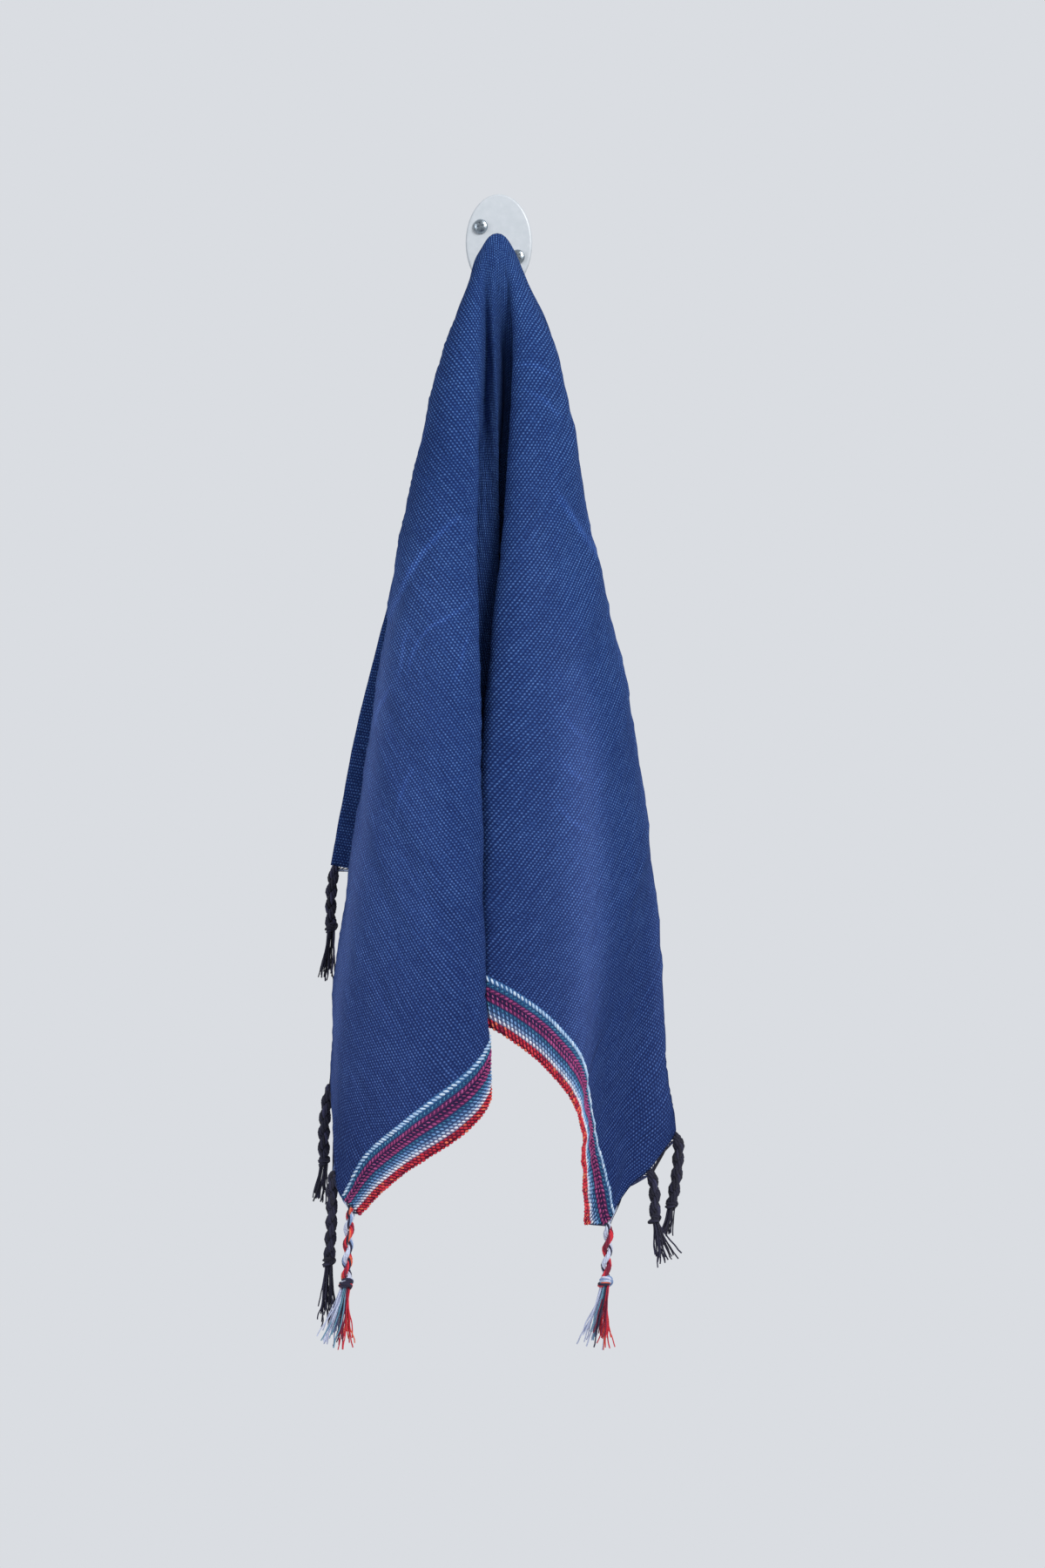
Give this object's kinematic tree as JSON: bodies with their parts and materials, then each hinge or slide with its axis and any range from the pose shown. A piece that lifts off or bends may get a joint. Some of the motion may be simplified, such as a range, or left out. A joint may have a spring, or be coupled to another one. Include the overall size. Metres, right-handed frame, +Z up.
{
  "type": "hand towel on wall hook",
  "caption": "Striped cotton hand towel with twisted corner and end tassels, hung by one point from a small oval wall hook.",
  "frame": {"origin": "centre of the hook plate's back face, on the wall", "axes": "+Z up, +Y into the wall, so the towel hangs on the -Y side, towards the room"},
  "size_m": [0.194, 0.0775, 0.6343],
  "materials": {
    "cloth": "matte woven cotton, navy, striped along one edge",
    "yarn": "matte twisted cotton yarn, near black navy",
    "corner_yarn": "matte twisted cotton yarn, red, blue and navy",
    "paint": "satin white paint",
    "zinc": "bright zinc plate"
  },
  "bodies": {
    "root": {"towel": "cloth", "tassel_left_1": "corner_yarn", "tassel_left_2": "yarn", "tassel_left_3": "yarn", "tassel_left_4": "yarn", "tassel_left_5": "yarn", "tassel_left_6": "yarn", "tassel_left_7": "yarn", "tassel_left_8": "yarn", "tassel_left_9": "yarn", "tassel_right_1": "corner_yarn", "tassel_right_2": "yarn", "tassel_right_3": "yarn", "tassel_right_4": "yarn", "tassel_right_5": "yarn", "tassel_right_6": "yarn", "tassel_right_7": "yarn", "tassel_right_8": "yarn", "tassel_right_9": "yarn", "hook": "paint", "screw_upper": "zinc", "screw_lower": "zinc"}
  },
  "joints": []
}
